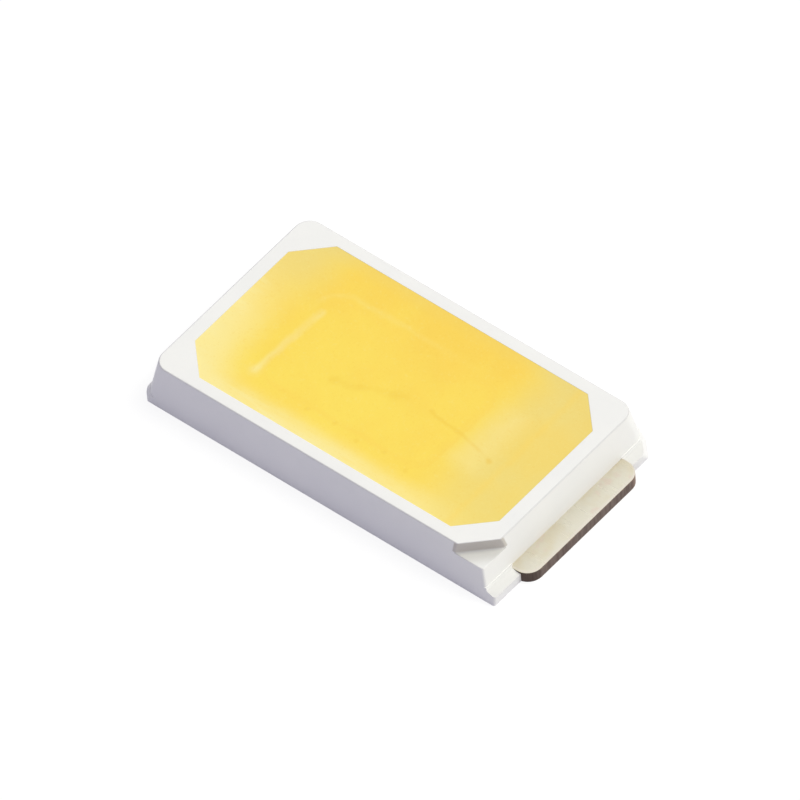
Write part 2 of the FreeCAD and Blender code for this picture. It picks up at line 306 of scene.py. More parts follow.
studio_world()
bpy.ops.object.select_all(action="DESELECT")
bpy.ops.mesh.primitive_plane_add(size=FLOOR_SIZE, location=(0, 0, -FLOOR_DROP))
floor = bpy.context.object
floor.name = "studio_floor"
floor.data.materials.append(floor_material())
lamp("key_lamp", KEY_FROM, KEY_SHARE, KEY_COLOUR, LAMP_AWAY, LAMP_SIZE)

# %% [markdown]
# ## The workbench
# A package this small could be modelled in metres, but merging by distance or a small bevel
# would swallow it. So each piece is modelled in millimetres, one Blender unit for a millimetre,
# and shrunk to metres when it is done. The helpers below are the few moves that a modeller
# repeats: add a block, select by place, round edges, cut one piece with another.

# %% Helpers that add, select and round
NEAR = 1e-4


def clear_selection():
    bpy.ops.object.select_all(action="DESELECT")


def activate(piece):
    clear_selection()
    piece.select_set(True)
    bpy.context.view_layer.objects.active = piece


def block(name, low, high, turn=0.0):
    """Cube primitive stretched between two corners, then turned about its own upright axis."""
    low, high = Vector(low), Vector(high)
    clear_selection()
    bpy.ops.mesh.primitive_cube_add(
        size=1, location=(low + high) / 2, rotation=(0, 0, turn), scale=high - low)
    bpy.ops.object.transform_apply(location=True, rotation=True, scale=True)
    piece = bpy.context.object
    piece.name = name
    return piece


def pick(piece, kind, wanted):
    """Opens a piece in edit mode and selects the vertices, edges or faces that pass a test."""
    if bpy.context.mode != "EDIT_MESH":
        activate(piece)
        bpy.ops.object.mode_set(mode="EDIT")
    bpy.ops.mesh.select_mode(type=kind)
    bpy.ops.mesh.select_all(action="DESELECT")
    net = bmesh.from_edit_mesh(piece.data)
    parts = {"VERT": net.verts, "EDGE": net.edges, "FACE": net.faces}[kind]
    chosen = [part for part in parts if wanted(part)]
    for part in chosen:
        part.select_set(True)
    net.select_flush_mode()
    bmesh.update_edit_mesh(piece.data)
    return len(chosen)


def leave():
    bpy.ops.object.mode_set(mode="OBJECT")


def extrude(step):
    bpy.ops.mesh.extrude_region_move(TRANSFORM_OT_translate={"value": step})


def middle(edge):
    return (edge.verts[0].co + edge.verts[1].co) / 2


def upright(edge):
    along = edge.verts[1].co - edge.verts[0].co
    return abs(along.z) > 0.7 * along.length


def round_edges(piece, wanted, radius, steps):
    """Rounds the edges that pass a test."""
    count = pick(piece, "EDGE", wanted)
    bpy.ops.mesh.bevel(offset=radius, segments=steps, affect="EDGES", clamp_overlap=False)
    leave()
    return count


# %% Helpers that merge, cut and measure
def tidy_mesh(piece):
    """Merges points that meet and turns every face outwards."""
    pick(piece, "VERT", lambda v: True)
    bpy.ops.mesh.remove_doubles(threshold=NEAR)
    bpy.ops.mesh.normals_make_consistent(inside=False)
    leave()


def combine(piece, tool, how):
    """Cuts, joins or crosses a piece with another, which is used up."""
    activate(piece)
    step = piece.modifiers.new("combine", "BOOLEAN")
    step.operation = how
    step.solver = "MANIFOLD"
    step.object = tool
    bpy.ops.object.modifier_apply(modifier=step.name)
    bpy.data.objects.remove(tool)
    tidy_mesh(piece)
    return piece


def copy_of(piece, name):
    twin = piece.copy()
    twin.data = piece.data.copy()
    twin.name = name
    bpy.context.scene.collection.objects.link(twin)
    return twin


def trimmed(piece, point, outward):
    """Cuts away what lies beyond a plane and closes the cut with a flat face."""
    pick(piece, "FACE", lambda f: True)
    bpy.ops.mesh.bisect(plane_co=point, plane_no=outward, clear_outer=True, use_fill=True)
    leave()
    tidy_mesh(piece)


def report(piece):
    """Prints a piece's box, volume and open edges, which show a failed step at once."""
    net = bmesh.new()
    net.from_mesh(piece.data)
    places = [v.co for v in net.verts]
    low = [round(min(p[i] for p in places), 3) for i in range(3)]
    high = [round(max(p[i] for p in places), 3) for i in range(3)]
    volume = round(net.calc_volume(signed=True), 4)
    open_edges = sum(not e.is_manifold for e in net.edges)
    print(piece.name, low, high, "volume", volume, "open edges", open_edges)
    net.free()


# %% [markdown]
# ## Leads
# The real leads are punched from 0.18 mm copper strip and half-etched from below, so that the
# resin grips a step along their edges. The punch rolls the upper edge of the tab over and leaves
# a bare copper edge. Each lead starts as a block whose upright corners are rounded. The etched
# step is cut away below, which keeps the solder pad's outline as one clean shape. A drawn
# outline extruded upwards would also do, but the block keeps every size in sight.

# %% Shapes of the two leads
NEAR_TAB_R = 0.20
FAR_TAB_R = 0.12
INNER_R = 0.15
ETCH_H = 0.09
ETCH_SIDE = 0.12
ETCH_END = 0.18
ETCH_R = 0.12
ETCH_START = 0.12
TAB_ROLL = 0.025
BASE_X = 2.595
short_low, short_high = box_mm("cathode_lead")
long_low, long_high = box_mm("anode_lead")
LEAD_T = short_high.z
LEAD_Y = short_high.y
STEP_X = BASE_X - ETCH_START


def etched_step(inner):
    """What the etchant removes from under a lead: all below its mid plane but the solder pad."""
    past = 0.5
    removed = block("etch", (inner - past, -LEAD_Y - past, -past), (STEP_X, LEAD_Y + past, ETCH_H))
    pad_y = LEAD_Y - ETCH_SIDE
    pad = block("pad", (inner + ETCH_END, -pad_y, -2 * past), (STEP_X + past, pad_y, ETCH_H + past))
    round_edges(pad, lambda e: upright(e) and middle(e).x < STEP_X, ETCH_R, steps=8)
    return combine(removed, pad, "DIFFERENCE")


def lead(name, inner, tab_end, tab_r):
    """One lead with its tab towards +X, measured from the middle of the housing."""
    plate = block(name, (inner, -LEAD_Y, 0), (tab_end, LEAD_Y, LEAD_T))
    round_edges(plate, lambda e: upright(e) and middle(e).x > STEP_X, tab_r, steps=10)
    round_edges(plate, lambda e: upright(e) and middle(e).x < inner + NEAR, INNER_R, steps=8)
    combine(plate, etched_step(inner), "DIFFERENCE")
    pick(plate, "FACE", lambda f: True)
    bpy.ops.mesh.bisect(plane_co=(STEP_X, 0, 0), plane_no=(1, 0, 0))
    leave()
    at_top = lambda e: all(v.co.z > LEAD_T - NEAR and v.co.x > STEP_X - NEAR for v in e.verts)
    on_rim = lambda e: at_top(e) and any(f.normal.z < 0.5 for f in e.link_faces)
    print(name, "rolled edges:", round_edges(plate, on_rim, TAB_ROLL, steps=5))
    return plate


short_lead = lead("short_lead", short_low.x - MIDDLE_X, short_high.x - MIDDLE_X, NEAR_TAB_R)
long_lead = lead("long_lead", MIDDLE_X - long_high.x, MIDDLE_X - long_low.x, FAR_TAB_R)
long_lead.rotation_euler.z = math.pi
activate(long_lead)
bpy.ops.object.transform_apply(location=False, rotation=True, scale=False)

# %% [markdown]
# ## The cup's core
# The cavity under the silicone is what a steel core pin leaves in the mould: an octagon that
# narrows downwards, then a shallow pool for the chips and a small window over the short lead.
# The slopes could be inset from the housing's top face, but then the silicone would be drawn a
# second time. So one plug of that shape is used twice, to hollow the housing and to be the
# silicone, and the two surfaces fit as exactly as they do when the liquid fills the cup.

# %% Plug of the cup
MOUTH_X = 2.285
MOUTH_Y = 1.25
MOUTH_CUT = 0.40
END_SLOPE = 0.56
SIDE_SLOPE = 0.33
FOOT_X = MOUTH_X - END_SLOPE
FOOT_Y = MOUTH_Y - SIDE_SLOPE
FOOT_CUT = 0.27
BODY_H = cad_high.z * MM
LEDGE_H = 0.05
LEDGE_Z = LEAD_T + LEDGE_H
LEDGE_W = 0.09
POCKET_LAP = 0.09
POOL_R = 0.25
WINDOW_R = 0.12
WINDOW_LEN = 0.405
WINDOW_WID = 0.90
BAR_LAP = 0.03


def slopes():
    """Octagon that narrows from the mouth to the foot of the reflectors."""
    core = block("cup", (-MOUTH_X, -MOUTH_Y, LEDGE_Z), (MOUTH_X, MOUTH_Y, BODY_H))
    pick(core, "EDGE", upright)
    bpy.ops.mesh.bevel(offset=MOUTH_CUT, segments=1, affect="EDGES", clamp_overlap=False)
    at_foot = lambda v: v.co.z < LEDGE_Z + NEAR
    pick(core, "VERT", at_foot)
    foot = (0, 0, LEDGE_Z)
    bpy.ops.transform.resize(value=(FOOT_X / MOUTH_X, FOOT_Y / MOUTH_Y, 1), center_override=foot)
    end_y = (MOUTH_Y - MOUTH_CUT) * FOOT_Y / MOUTH_Y
    side_x = (MOUTH_X - MOUTH_CUT) * FOOT_X / MOUTH_X
    pick(core, "VERT", lambda v: at_foot(v) and abs(v.co.x) > FOOT_X - NEAR)
    bpy.ops.transform.resize(value=(1, (FOOT_Y - FOOT_CUT) / end_y, 1), center_override=foot)
    pick(core, "VERT", lambda v: at_foot(v) and abs(v.co.y) > FOOT_Y - NEAR)
    bpy.ops.transform.resize(value=((FOOT_X - FOOT_CUT) / side_x, 1, 1), center_override=foot)
    leave()
    return core


def well(name, x0, x1, half_y, radius, bottom):
    """Upright pocket below the ledge, with rounded corners."""
    pocket = block(name, (x0, -half_y, bottom), (x1, half_y, LEDGE_Z + POCKET_LAP))
    round_edges(pocket, upright, radius, steps=8)
    return pocket


def cup_plug(bottom):
    """The whole cavity, with its two pockets reaching down to the given height."""
    window_x1 = FOOT_X - LEDGE_W
    plug = slopes()
    pool_x1 = long_high.x - MIDDLE_X - BAR_LAP
    pool = well("pool", LEDGE_W - FOOT_X, pool_x1, FOOT_Y - LEDGE_W, POOL_R, bottom)
    combine(plug, pool, "UNION")
    window = well("window", window_x1 - WINDOW_LEN, window_x1, WINDOW_WID / 2, WINDOW_R, bottom)
    return combine(plug, window, "UNION")


fill_core = cup_plug(LEAD_T)
print("plug of the cup:", len(fill_core.data.polygons), "faces")

# %% [markdown]
# ## Housing
# The housing is one moulding: a block whose walls lean out on their way down so that it leaves
# the mould, with three round corners and one sharp corner that carries the polarity cut. It
# could be lofted between two outlines, but a block whose top is scaled down keeps its walls
# flat, and its edges can be picked by their place and rounded one kind at a time.

# %% Housing block
BASE_Y = cad_high.y * MM
END_DRAFT = 0.125
SIDE_DRAFT = 0.09
TOP_X = BASE_X - END_DRAFT
TOP_Y = BASE_Y - SIDE_DRAFT
SIDE_LEAN = SIDE_DRAFT / BODY_H
CORNER_R = 0.20
MARK_EDGE_R = 0.03
MARK_LEG = 0.36
MARK_DEPTH = 0.16
MARK_Z = BODY_H - MARK_DEPTH
TOP_EDGE_R = 0.018


def drafted(name):
    """Block with leaning walls, three round upright corners and the sharp polarity corner."""
    body = block(name, (-BASE_X, -BASE_Y, 0), (BASE_X, BASE_Y, BODY_H))
    pick(body, "VERT", lambda v: v.co.z > BODY_H - NEAR)
    bpy.ops.transform.resize(value=(TOP_X / BASE_X, TOP_Y / BASE_Y, 1), center_override=(0, 0, BODY_H))
    leave()
    marked = lambda e: upright(e) and middle(e).x > 0 and middle(e).y < 0
    round_edges(body, lambda e: upright(e) and not marked(e), CORNER_R, steps=10)
    round_edges(body, marked, MARK_EDGE_R, steps=4)
    round_edges(body, lambda e: all(v.co.z > BODY_H - NEAR for v in e.verts), TOP_EDGE_R, steps=3)
    return body


housing = drafted("housing_body")
report(housing)

# %% [markdown]
# ## Lips
# Low lips stand out at the foot of the end walls, where the mould closes round the leads. A lip
# could be a block with a bevel, but the real one flares into the wall in a hollow curve and turns
# the corner with it. So its profile is drawn from a circle, of which one quarter is kept, runs
# straight beside the lead and is spun round the corner. Its end is cut off along the long wall.

# %% Sizes and section of a lip
LIP_REACH = 0.105
LIP_H = 0.127
FAR_LIP_REACH = 0.03
FAR_LIP_H = 0.05
LIP_RISE = 0.024
LIP_FLARE = 0.05
LIP_GRIP = 0.025
LIP_SKIN = 0.018
LIP_CUT_LEAN = 0.20
LIP_CORNER_R = 0.15
UNDER_WALL = 0.001
CUT_LINE = BASE_X + BASE_Y - (2 - math.sqrt(2)) * CORNER_R + math.sqrt(2) * LIP_SKIN
CUT_LEAN = SIDE_LEAN + LIP_CUT_LEAN / BODY_H


def wall_x(z):
    return BASE_X - END_DRAFT * z / BODY_H


def lip_section(at_y, inside, face_x, height, flare):
    """Upright face of the lip's profile: a quarter circle for the flare, then its outer corners."""
    slope_z = height + LIP_RISE
    flare_z = slope_z + flare
    bend = Vector((wall_x(slope_z) + flare, at_y, flare_z))
    clear_selection()
    bpy.ops.mesh.primitive_circle_add(
        vertices=32, radius=flare, location=bend, rotation=(math.pi / 2, 0, 0))
    bpy.ops.object.transform_apply(location=True, rotation=True, scale=True)
    section = bpy.context.object
    pick(section, "VERT", lambda v: v.co.x > bend.x + NEAR or v.co.z > bend.z + NEAR)
    bpy.ops.mesh.delete(type="VERT")
    corners = [(face_x, at_y, height), (face_x, at_y, 0), (inside, at_y, 0), (inside, at_y, flare_z)]
    here = Vector((bend.x, at_y, slope_z))
    pick(section, "VERT", lambda v: (v.co - here).length < NEAR)
    for corner in corners:
        extrude(Vector(corner) - here)
        here = Vector(corner)
    bpy.ops.mesh.select_all(action="SELECT")
    bpy.ops.mesh.edge_face_add()
    return section


# %% A lip swept along its wall
def lip(name, reach, height, round_corner):
    """Lip on the +Y side of the +X lead. The square one runs straight past the corner."""
    first_y = LEAD_Y - LIP_GRIP
    turn_x = BASE_X - CORNER_R
    turn_y = BASE_Y - CORNER_R
    section = lip_section(first_y, turn_x, BASE_X + reach, height, min(LIP_FLARE, reach))
    run = turn_y - first_y if round_corner else BASE_Y - first_y
    extrude((0, run, 0))
    if round_corner:
        pick(section, "FACE", lambda f: all(v.co.y > turn_y - NEAR for v in f.verts))
        bpy.ops.mesh.spin(steps=12, angle=-math.pi / 2, center=(turn_x, turn_y, 0), axis=(0, 0, 1))
    leave()
    section.name = name
    tidy_mesh(section)
    return cut_off(section, BASE_X + reach, round_corner)


def cut_off(piece, face_x, round_corner):
    """Ends a lip at the long wall, and the round ones also along a leaning 45 degree cut."""
    trimmed(piece, (0, BASE_Y - UNDER_WALL, 0), (0, 1, SIDE_LEAN))
    at_face = lambda v: v.co.x > face_x - NEAR
    on_wall = lambda v: abs(v.co.y + SIDE_LEAN * v.co.z - BASE_Y + UNDER_WALL) < NEAR
    on_cut = lambda v: abs(v.co.x + v.co.y + CUT_LEAN * v.co.z - CUT_LINE) < NEAR
    if round_corner:
        trimmed(piece, (CUT_LINE, 0, 0), (1, 1, CUT_LEAN))
        ends = lambda e: all(on_cut(v) and (at_face(v) or on_wall(v)) for v in e.verts) and upright(e)
        width = LIP_CORNER_R * (math.sqrt(2) - 1)
    else:
        ends = lambda e: all(on_wall(v) and at_face(v) for v in e.verts)
        width = MARK_EDGE_R
    print(piece.name, "rounded ends:", round_edges(piece, ends, width, steps=6))
    tidy_mesh(piece)
    return piece


def mirrored(piece, name, along):
    """Copy turned over to the other side of the package, with its faces turned back outwards."""
    twin = copy_of(piece, name)
    activate(twin)
    twin.scale[along] = -1
    bpy.ops.object.transform_apply(location=False, rotation=False, scale=True)
    tidy_mesh(twin)
    return twin


# %% Lips joined to the housing
near_lip = lip("lip_near", LIP_REACH, LIP_H, True)
square_lip = lip("lip_square", LIP_REACH, LIP_H, False)
far_lip = lip("lip_far", FAR_LIP_REACH, FAR_LIP_H, True)
all_lips = [near_lip, mirrored(square_lip, "lip_mark", 1), mirrored(far_lip, "lip_left", 0)]
all_lips.append(mirrored(all_lips[2], "lip_front", 1))
for spare in (square_lip, far_lip):
    bpy.data.objects.remove(spare)
for one in all_lips:
    report(one)
    combine(housing, one, "UNION")
report(housing)

# %% [markdown]
# ## What is taken out of the housing
# The core pin leaves the cup, another insert in the mould leaves the cut that marks the polarity,
# and the gate, where the resin was shot in, leaves a small dimple below. The leads fill slots of
# their own shape.
# All of it could be inset and pushed down in one mesh, but tools that are cut away in turn leave
# clean edges, and a lead's own copy cuts a slot that fits it.

# %% Tools for the cup, the polarity cut, the gate and the slots
GATE_R = 0.20
GATE_DEPTH = 0.03
MARK_FILLET = 0.03
MARK_RIM_R = 0.012
BELOW_LEAD_TOP = 0.02
TOOL_SIZE = 1.2
CLEAR = 0.1


def deepened(piece, name, bottom):
    """Copy of a lead whose underside reaches a little below, so that it cuts right through."""
    tool = copy_of(piece, name)
    pick(tool, "VERT", lambda v: v.co.z < bottom + NEAR)
    bpy.ops.transform.translate(value=(0, 0, -CLEAR))
    leave()
    return tool


def hollow(body):
    core = cup_plug(LEAD_T - BELOW_LEAD_TOP)
    pick(core, "FACE", lambda f: f.normal.z > 0.9 and f.calc_center_median().z > BODY_H - NEAR)
    extrude((0, 0, 2 * CLEAR))
    leave()
    combine(body, core, "DIFFERENCE")


def cut_polarity_corner(body):
    line = Vector((TOP_X - MARK_LEG / 2, -TOP_Y + MARK_LEG / 2, 0))
    outward = Vector((1, -1, 0)).normalized()
    half = TOOL_SIZE / 2
    centre = line + outward * half
    low = (centre.x - half, centre.y - half, MARK_Z)
    high = (centre.x + half, centre.y + half, BODY_H + TOOL_SIZE)
    wedge = block("wedge", low, high, math.pi / 4)
    beyond = lambda v: (v.co - line).dot(outward)
    foot = lambda e: all(beyond(v) < NEAR and v.co.z < MARK_Z + NEAR for v in e.verts)
    round_edges(wedge, foot, MARK_FILLET, steps=4)
    combine(body, wedge, "DIFFERENCE")
    is_cut = lambda f: all(beyond(v) > -NEAR and v.co.z > MARK_Z - NEAR for v in f.verts)
    rim = lambda e: sum(is_cut(f) for f in e.link_faces) == 1
    print("edges round the polarity cut:", round_edges(body, rim, MARK_RIM_R, steps=3))


def cut_gate(body):
    gap_x = (short_low.x + long_high.x) / 2 - MIDDLE_X
    clear_selection()
    bpy.ops.mesh.primitive_cylinder_add(
        vertices=48, radius=GATE_R, depth=2 * GATE_DEPTH, location=(gap_x, 0, 0))
    combine(body, bpy.context.object, "DIFFERENCE")


# %% Cutting them out
for step in (hollow, cut_polarity_corner, cut_gate):
    step(housing)
    report(housing)
for piece in (short_lead, long_lead):
    combine(housing, deepened(piece, "slot", 0.0), "DIFFERENCE")
    report(housing)

# %% [markdown]
# ## Silicone fill
# The liquid silicone wets the cup's wall, is held there by the sharp rim and sags a little
# towards the middle as it cures. Concentric insets of the top face, each lowered along an
# exponential curve, give that meniscus. A scaled sphere would cut the corners too deep.

# %% Top of the fill
FILL_GAP = 0.003
DISH = 0.014
DISH_REACH = 0.20
RING_WIDTHS = (0.012, 0.018, 0.03, 0.05, 0.08, 0.12, 0.14, 0.15)


def dish_depth(inwards):
    return DISH * (1 - math.exp(-inwards / DISH_REACH))


def dish_top(core):
    rim_z = BODY_H - FILL_GAP
    pick(core, "FACE", lambda f: True)
    bpy.ops.mesh.bisect(plane_co=(0, 0, rim_z), plane_no=(0, 0, 1), clear_outer=True, use_fill=True)
    pick(core, "FACE", lambda f: f.normal.z > 0.9 and f.calc_center_median().z > rim_z - NEAR)
    inwards = 0.0
    for width in RING_WIDTHS:
        drop = dish_depth(inwards + width) - dish_depth(inwards)
        bpy.ops.mesh.inset(thickness=width, depth=-drop, use_even_offset=True)
        inwards += width
    leave()


fill_core.name = "silicone_fill"
dish_top(fill_core)
print("the silicone sags by", round(dish_depth(sum(RING_WIDTHS)), 4), "mm")

# %% [markdown]
# ## Smooth shading and the frame's own place
# The rounded edges were made with the forms above, so only the shading is left. Edges could be
# marked sharp by hand, but a limit finds them all: faces that meet at a smaller angle are shaded
# as one, and large faces keep their own direction. The cup's end slopes meet the top face at 35
# degrees, so the limit lies just below that. The sheared sides of the leads get a slot of their
# own for a finish. Then each piece is moved to its place in the measured frame, in metres.

# %% Shading and size
SMOOTH_ANGLE = 30


def smooth(piece, degrees):
    activate(piece)
    bpy.ops.object.shade_smooth_by_angle(angle=math.radians(degrees))
    step = piece.modifiers.new("normals", "WEIGHTED_NORMAL")
    step.keep_sharp = True
    bpy.ops.object.modifier_apply(modifier=step.name)


def to_frame(piece):
    """Moves a finished piece from the housing's middle to the frame's, in metres."""
    piece.location.x = MIDDLE_X / MM
    piece.scale = (1 / MM,) * 3
    activate(piece)
    bpy.ops.object.transform_apply(location=True, rotation=False, scale=True)


SHEARED = 1
for plate in (short_lead, long_lead):
    activate(plate)
    plate.data.materials.append(None)
    plate.data.materials.append(None)
    side = lambda f: abs(f.normal.z) < 0.15 and abs(f.calc_center_median().x) > STEP_X
    print(plate.name, "sheared faces:", pick(plate, "FACE", side))
    plate.active_material_index = SHEARED
    bpy.ops.object.material_slot_assign()
    leave()

for piece in (housing, fill_core, short_lead, long_lead):
    report(piece)
    smooth(piece, SMOOTH_ANGLE)
    to_frame(piece)
    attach(piece, "root")

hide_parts("housing")
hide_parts("phosphor_fill")
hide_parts("cathode_lead")
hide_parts("anode_lead")

# %% [markdown]
# ## White resin
# The housing is glass-filled white resin out of a spark-eroded mould, so it is matt with a grain
# of about a fortieth of a millimetre and slightly cloudy. A warm reflection of the metal is painted
# on its wall above the visible tab, and painted shade greys its lips, its top rim and the polarity
# cut. An image of real grain would do as well, but noise in the piece's own space needs no
# unwrapping and meets at every edge. The helpers that only a real finish needs come first.

# %% Helpers for a finish
def recipe(name):
    material = bpy.data.materials.new(name)
    material.use_nodes = True
    tree = material.node_tree
    return material, tree, tree.nodes["Principled BSDF"]


def noise(tree, at, scale, detail=2.0):
    made = node(tree, "ShaderNodeTexNoise", {"Vector": at, "Scale": scale, "Detail": detail})
    return made.outputs["Fac"]


def between(tree, value, low, high, soft):
    """1 between two limits, with soft ends."""
    rise = fade(tree, value, low - soft, low + soft)
    fall = fade(tree, value, high - soft, high + soft, 1.0, 0.0)
    return product(tree, rise, fall)


def roughness(tree, pattern, smoothest, roughest):
    """Roughness that follows a pattern."""
    return fade(tree, pattern, 0.3, 0.7, smoothest, roughest)


def relief(tree, height, depth_mm):
    return node(tree, "ShaderNodeBump", {"Height": height, "Distance": depth_mm / MM}).outputs["Normal"]


def wire_up(tree, shader, **sources):
    """Feeds the shader's inputs by name, with spaces written as underscores."""
    for key, value in sources.items():
        feed(tree, shader.inputs[key.replace("_", " ")], value)


# %% Where the resin's tone changes, with a painted reflection and painted shades
RESIN = (0.932, 0.934, 0.905)
RESIN_CLOUD = (0.912, 0.915, 0.893)
# A painted warm reflection from the tab, then painted shades for the lips, the top rim, the polarity cut
# and its ledge.
RESIN_PAINTED_REFLECTION = (0.95, 0.89, 0.82)
RESIN_LIP_SHADE = (0.79, 0.79, 0.765)
RESIN_RIM_SHADE = (0.74, 0.74, 0.73)
RESIN_CUT_SHADE = (0.53, 0.49, 0.44)
RESIN_LEDGE_SHADE = (0.62, 0.615, 0.58)
REFLECTION_X = (2.50, 2.58)
REFLECTION_Y = (-1.0, 0.95)
REFLECTION_Z = (0.31, 0.20)
REFLECTION_SHARE = 0.42
LIP_SHADE_X = (2.0, 2.4)
LIP_SHADE_Z = (0.215, 0.185)
CUT_SHADE_SHARE = 0.80
MARK_LINE = TOP_X + TOP_Y - MARK_LEG


def facing_up(tree):
    """1 on a face that looks straight up and 0 on an upright one."""
    return split(tree, tree.nodes.new("ShaderNodeNewGeometry").outputs["Normal"])[2]


def painted_tab_reflection(tree, at):
    """Painted warm reflection of the tab on the end wall just above it, in patches."""
    x, y, z = split(tree, at)
    wall = product(tree, fade(tree, x, *REFLECTION_X), between(tree, y, *REFLECTION_Y, 0.12))
    patch = fade(tree, noise(tree, at, 4.0), 0.35, 0.60, 0.25, 1.0)
    return product(tree, wall, fade(tree, z, *REFLECTION_Z, 0.0, REFLECTION_SHARE), patch)


# Painted shade on the upward faces of the lips.
def painted_shade_on_lips(tree, at):
    place = split(tree, at)
    level = fade(tree, facing_up(tree), 0.35, 0.8)
    return product(tree, fade(tree, place[2], *LIP_SHADE_Z), level, fade(tree, place[0], *LIP_SHADE_X))


def painted_rim_shade(tree, at):
    """Painted shade on the fine radius round the top face."""
    z = split(tree, at)[2]
    leaning = between(tree, facing_up(tree), 0.30, 0.95, 0.04)
    return product(tree, fade(tree, z, BODY_H - 0.03, BODY_H - 0.02), leaning)


def painted_shade_on_cut(tree, at):
    """Painted shade on the leaning face of the polarity cut."""
    x, y, z = split(tree, at)
    across = between(tree, maths(tree, "SUBTRACT", x, y), MARK_LINE - 0.04, MARK_LINE + 0.02, 0.012)
    upwards = between(tree, z, MARK_Z + 0.01, BODY_H - 0.008, 0.006)
    return product(tree, across, upwards, CUT_SHADE_SHARE)


def painted_shade_on_ledge(tree, at):
    """Painted shade on the ledge at the foot of the polarity cut, fading towards the corner."""
    x, y, z = split(tree, at)
    across = maths(tree, "SUBTRACT", x, y)
    past_line = fade(tree, across, MARK_LINE - 0.02, MARK_LINE)
    level = between(tree, z, MARK_Z - 0.008, MARK_Z + 0.015, 0.004)
    fading = fade(tree, across, MARK_LINE + 0.10, MARK_LINE + 0.36, 0.80, 0.10)
    return product(tree, past_line, level, fading)


# %% Resin
def resin_material():
    material, tree, shader = recipe("moulded_white_resin")
    at = place_mm(tree)
    cloud = fade(tree, noise(tree, at, 1.6, 3.0), 0.35, 0.65)
    colour = tint(tree, cloud, RESIN, RESIN_CLOUD)
    # The painted reflection and the painted shades are laid over the resin's own cloudy tone.
    for where, tone in (
            (painted_tab_reflection, RESIN_PAINTED_REFLECTION), (painted_shade_on_lips, RESIN_LIP_SHADE), (painted_rim_shade, RESIN_RIM_SHADE),
            (painted_shade_on_cut, RESIN_CUT_SHADE), (painted_shade_on_ledge, RESIN_LEDGE_SHADE)):
        colour = tint(tree, where(tree, at), colour, tone)
    grain = noise(tree, at, 42.0, 3.0)
    swell = noise(tree, at, 5.0)
    height = maths(tree, "ADD", grain, product(tree, swell, 1.6))
    wire_up(
        tree, shader, Base_Color=colour, Roughness=roughness(tree, grain, 0.46, 0.60),
        Normal=relief(tree, height, 0.0010), Specular_IOR_Level=0.35)
    return material


def dress(piece, *finishes):
    """Puts finishes into a piece's slots and keeps which face uses which slot."""
    while len(piece.data.materials) < len(finishes):
        piece.data.materials.append(None)
    for number, finish in enumerate(finishes):
        piece.data.materials[number] = finish
    print(piece.name, "wears", [finish.name for finish in finishes])


dress(housing, resin_material())

# %% [markdown]
# ## Phosphor silicone
# Yellow phosphor powder sits in clear silicone, denser towards the floor of the cup. Through it
# show the steps of the cup and the bond wires, as soft paler and darker lines. Each of them is
# a short list of points and a width, wobbled by noise so that none looks ruled. They could be
# painted on an image, but written as places they stay sharp at any zoom.

# %% Marks that show through the phosphor
POOL_MIDDLE = (-0.19, -0.07, 0)
POOL_HALF = (1.31, 0.82, 0)
POOL_ROUND = 0.34
POOL_STREAK = [(-1.45, -0.76), (-1.42, -0.20), (-1.39, 0.36)]
STREAK_W = 0.085
PANE_MIDDLE = (1.38, 0.05, 0)
PANE_HALF = (0.20, 0.52, 0)
PANE_ROUND = 0.12
FIRST_WIRE = [(-0.66, -0.35), (-0.36, -0.27), (-0.03, -0.12), (0.25, -0.05)]
SECOND_WIRE = [(0.58, -0.02), (1.00, -0.09), (1.34, -0.14), (1.62, -0.21)]
WIRE_KNOTS = [
    ((1.60, -0.21), 0.070, 0.32), ((-0.60, -0.33), 0.12, 0.14),
    ((-0.30, -0.22), 0.10, 0.10), ((0.12, -0.08), 0.13, 0.14)]
FRONT_SPECKS = [(-0.58, -0.86), (-0.20, -0.83), (0.18, -0.90), (0.55, -0.84), (0.92, -0.90)]
SPECK_R = 0.05
WOBBLE = 0.09
DIAGONAL = math.sqrt(0.5)
RIM_CUT = (MOUTH_X + MOUTH_Y - MOUTH_CUT) * DIAGONAL


# %% Distances on the plan of the cup
def scaled(tree, vector, amount):
    made = node(tree, "ShaderNodeVectorMath", {0: vector, "Scale": amount}, operation="SCALE")
    return made.outputs["Vector"]


def flat_place(tree, at):
    """The place seen from above, wobbled a little."""
    made = node(tree, "ShaderNodeTexNoise", {"Vector": at, "Scale": 3.5, "Detail": 2.0})
    push = vectors(tree, "SUBTRACT", made.outputs["Color"], (0.5, 0.5, 0.5))
    moved = vectors(tree, "ADD", at, scaled(tree, push, WOBBLE))
    return vectors(tree, "MULTIPLY", moved, (1, 1, 0))


def outside_box(tree, flat, centre, half, radius):
    """Distance out from a box with round corners, below zero inside it."""
    shifted = vectors(tree, "ABSOLUTE", vectors(tree, "SUBTRACT", flat, centre))
    core = (half[0] - radius, half[1] - radius, 0)
    over = vectors(tree, "SUBTRACT", shifted, core)
    corner = vectors(tree, "LENGTH", vectors(tree, "MAXIMUM", over, (0, 0, 0)))
    x, y = split(tree, over)[:2]
    inside = maths(tree, "MINIMUM", maths(tree, "MAXIMUM", x, y), 0.0)
    return maths(tree, "SUBTRACT", maths(tree, "ADD", corner, inside), radius)


def past_rim(tree, flat):
    """Distance out from the octagonal rim of the cup, below zero inside it."""
    size = vectors(tree, "ABSOLUTE", flat)
    wide, deep = split(tree, size)[:2]
    past_end = maths(tree, "SUBTRACT", wide, MOUTH_X)
    past_side = maths(tree, "SUBTRACT", deep, MOUTH_Y)
    along = vectors(tree, "DOT_PRODUCT", size, (DIAGONAL, DIAGONAL, 0))
    past_cut = maths(tree, "SUBTRACT", along, RIM_CUT)
    return maths(tree, "MAXIMUM", maths(tree, "MAXIMUM", past_end, past_side), past_cut)


